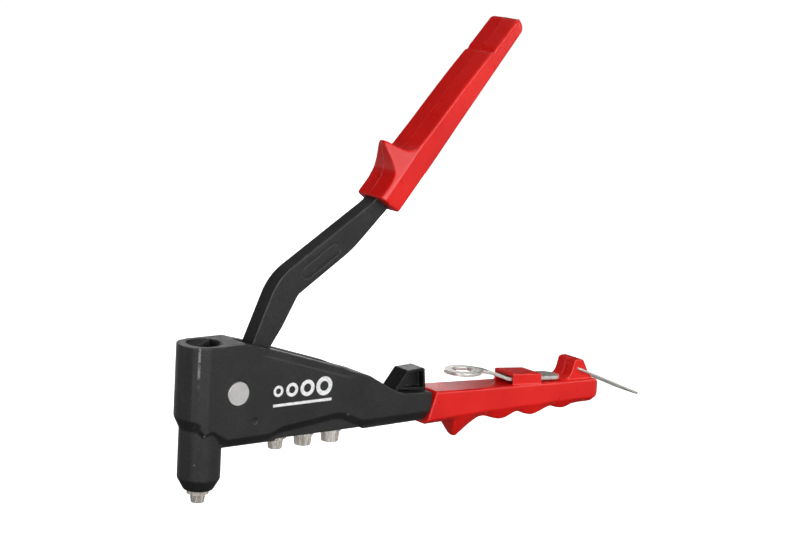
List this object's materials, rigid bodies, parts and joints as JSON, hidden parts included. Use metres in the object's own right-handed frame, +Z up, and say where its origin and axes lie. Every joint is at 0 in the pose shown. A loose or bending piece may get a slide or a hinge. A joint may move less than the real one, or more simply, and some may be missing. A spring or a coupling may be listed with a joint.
{
  "type": "hand riveter",
  "caption": "Lever hand riveter: a pivoting handle lifts the pull head and jaws in the barrel behind a nosepiece; spare nosepieces, clipped wrench and wire latch.",
  "frame": {"origin": "centre of the fitted nosepiece's tip face, on the barrel's axis", "axes": "+Z up the barrel, +X from the barrel towards the handles, Y across the tool along the handle pivot"},
  "size_m": [0.3105, 0.0253, 0.2473],
  "materials": {
    "black_cast": "satin black paint",
    "black_arm": "satin black paint on forged steel",
    "red_grip": "glossy moulded plastic",
    "black_bumper": "semi-gloss moulded plastic",
    "bright_steel": "turned, bright",
    "spring_steel": "drawn spring wire",
    "bush_bronze": "sintered bronze",
    "jaw_steel": "hardened, dark",
    "nickel": "satin nickel plate",
    "wrench_nickel": "bright nickel plate on stamped sheet",
    "wire_steel": "zinc-plated wire"
  },
  "bodies": {
    "casting": {"body_casting": "black_cast", "pivot_pin": "bright_steel", "pivot_retaining_ring": "spring_steel", "return_spring": "spring_steel", "nosepiece": "nickel", "spare_nosepiece_3_2": "nickel", "spare_nosepiece_4_0": "nickel", "spare_nosepiece_4_8": "nickel", "lower_grip": "red_grip", "stop_bumper": "black_bumper"},
    "handle": {"handle_arm": "black_arm", "pivot_bushes": "bush_bronze", "upper_grip": "red_grip"},
    "pull_train": {"pull_head": "bright_steel", "jaw_case_lock_nut": "bright_steel", "jaw_case": "bright_steel", "jaw_spring": "spring_steel"},
    "jaw_pusher": {"jaw_pusher": "bright_steel"},
    "jaw_a": {"jaw_1": "jaw_steel"},
    "jaw_b": {"jaw_2": "jaw_steel"},
    "jaw_c": {"jaw_3": "jaw_steel"},
    "latch_wire": {"latch_wire": "wire_steel"},
    "wrench": {"wrench": "wrench_nickel"}
  },
  "joints": [
    {"name": "handle_pivot", "type": "hinge", "parent": "casting", "child": "handle", "pos_m": [0.0141, 0, 0.0584], "axis": [0, 1, 0], "range_deg": [0, 43.5], "stiffness_Nm_per_rad": 0.4, "springref_deg": -68.75, "deforming": ["return_spring"]},
    {"name": "pull_head_lift", "type": "slide", "parent": "casting", "child": "pull_train", "axis": [0, 0, 1], "range_m": [0, 0.0112]},
    {"name": "jaw_pusher_slide", "type": "slide", "parent": "pull_train", "child": "jaw_pusher", "axis": [0, 0, 1], "range_m": [0, 0.0026], "stiffness_N_per_m": 300, "springref_m": -0.004, "deforming": ["jaw_spring"]},
    {"name": "jaw_1_slide", "type": "slide", "parent": "pull_train", "child": "jaw_a", "axis": [0.1789, 0, 0.9839], "range_m": [0, 0.0027]},
    {"name": "jaw_2_slide", "type": "slide", "parent": "pull_train", "child": "jaw_b", "axis": [-0.0894, 0.1549, 0.9839], "range_m": [0, 0.0027]},
    {"name": "jaw_3_slide", "type": "slide", "parent": "pull_train", "child": "jaw_c", "axis": [-0.0894, -0.1549, 0.9839], "range_m": [0, 0.0027]},
    {"name": "latch_wire_pivot", "type": "hinge", "parent": "casting", "child": "latch_wire", "pos_m": [0.2483, 0, 0.0478], "axis": [0, -1, 0], "range_deg": [0, 64]},
    {"name": "wrench_slide", "type": "slide", "parent": "casting", "child": "wrench", "axis": [-0.9976, 0, 0.0691], "range_m": [0, 0.018]}
  ],
  "couplings": [
    {"joint": "pull_head_lift", "follows": "handle_pivot", "m_per_rad": 0.014642},
    {"joint": "jaw_1_slide", "follows": "jaw_pusher_slide", "ratio": 1.0164},
    {"joint": "jaw_2_slide", "follows": "jaw_pusher_slide", "ratio": 1.0164},
    {"joint": "jaw_3_slide", "follows": "jaw_pusher_slide", "ratio": 1.0164}
  ]
}
